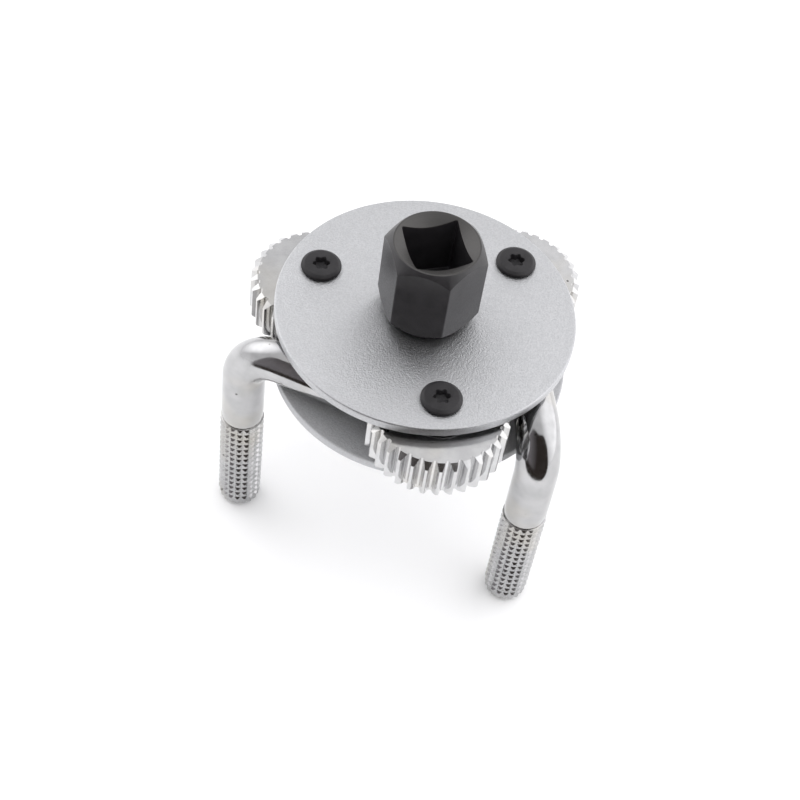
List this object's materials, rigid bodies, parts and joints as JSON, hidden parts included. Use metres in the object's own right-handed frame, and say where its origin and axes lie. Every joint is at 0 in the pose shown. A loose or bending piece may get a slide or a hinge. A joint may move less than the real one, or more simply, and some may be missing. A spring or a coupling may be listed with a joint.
{
  "type": "oil filter wrench",
  "caption": "Gear-driven jaw wrench for spin-on oil filters: a square-drive head turns a sun gear that swings geared legs in or out together.",
  "frame": {"origin": "centre of the square drive socket's floor, on the drive axis", "axes": "+Z along the drive axis out of the socket, towards the ratchet; the jaw called front has its pivot on -Y"},
  "size_m": [0.0851, 0.0845, 0.0873],
  "materials": {
    "plated_plate": "satin, fine-blasted and zinc plated",
    "chrome": "bright plated",
    "black_oxide": "matte black oxide on steel",
    "plain_steel": "turned steel"
  },
  "bodies": {
    "housing": {"top_plate": "plated_plate", "bottom_plate": "plated_plate", "upper_sun_washer": "plain_steel", "lower_sun_washer": "plain_steel", "pivot_post_front": "plain_steel", "pivot_post_right": "plain_steel", "pivot_post_left": "plain_steel", "upper_washer_front": "plain_steel", "upper_washer_right": "plain_steel", "upper_washer_left": "plain_steel", "lower_washer_front": "plain_steel", "lower_washer_right": "plain_steel", "lower_washer_left": "plain_steel", "top_screw_front": "black_oxide", "top_screw_right": "black_oxide", "top_screw_left": "black_oxide", "bottom_screw_front": "black_oxide", "bottom_screw_right": "black_oxide", "bottom_screw_left": "black_oxide"},
    "drive": {"drive_head": "black_oxide", "sun_gear": "plain_steel", "retaining_ring": "plain_steel"},
    "jaw_front": {"jaw_gear_front": "chrome", "jaw_arm_front": "chrome"},
    "jaw_right": {"jaw_gear_right": "chrome", "jaw_arm_right": "chrome"},
    "jaw_left": {"jaw_gear_left": "chrome", "jaw_arm_left": "chrome"}
  },
  "joints": [
    {"name": "drive_turn", "type": "hinge", "parent": "housing", "child": "drive", "pos_m": [0, 0, 0], "axis": [0, 0, 1], "range_deg": [-320, 0]},
    {"name": "front_jaw_swing", "type": "hinge", "parent": "housing", "child": "jaw_front", "pos_m": [0, -0.0264, -0.0149], "axis": [0, 0, 1], "range_deg": [0, 240]},
    {"name": "right_jaw_swing", "type": "hinge", "parent": "housing", "child": "jaw_right", "pos_m": [0.02286, 0.0132, -0.0149], "axis": [0, 0, 1], "range_deg": [0, 240]},
    {"name": "left_jaw_swing", "type": "hinge", "parent": "housing", "child": "jaw_left", "pos_m": [-0.02286, 0.0132, -0.0149], "axis": [0, 0, 1], "range_deg": [0, 240]}
  ],
  "couplings": [
    {"joint": "front_jaw_swing", "follows": "drive_turn", "ratio": -0.75},
    {"joint": "right_jaw_swing", "follows": "drive_turn", "ratio": -0.75},
    {"joint": "left_jaw_swing", "follows": "drive_turn", "ratio": -0.75}
  ]
}
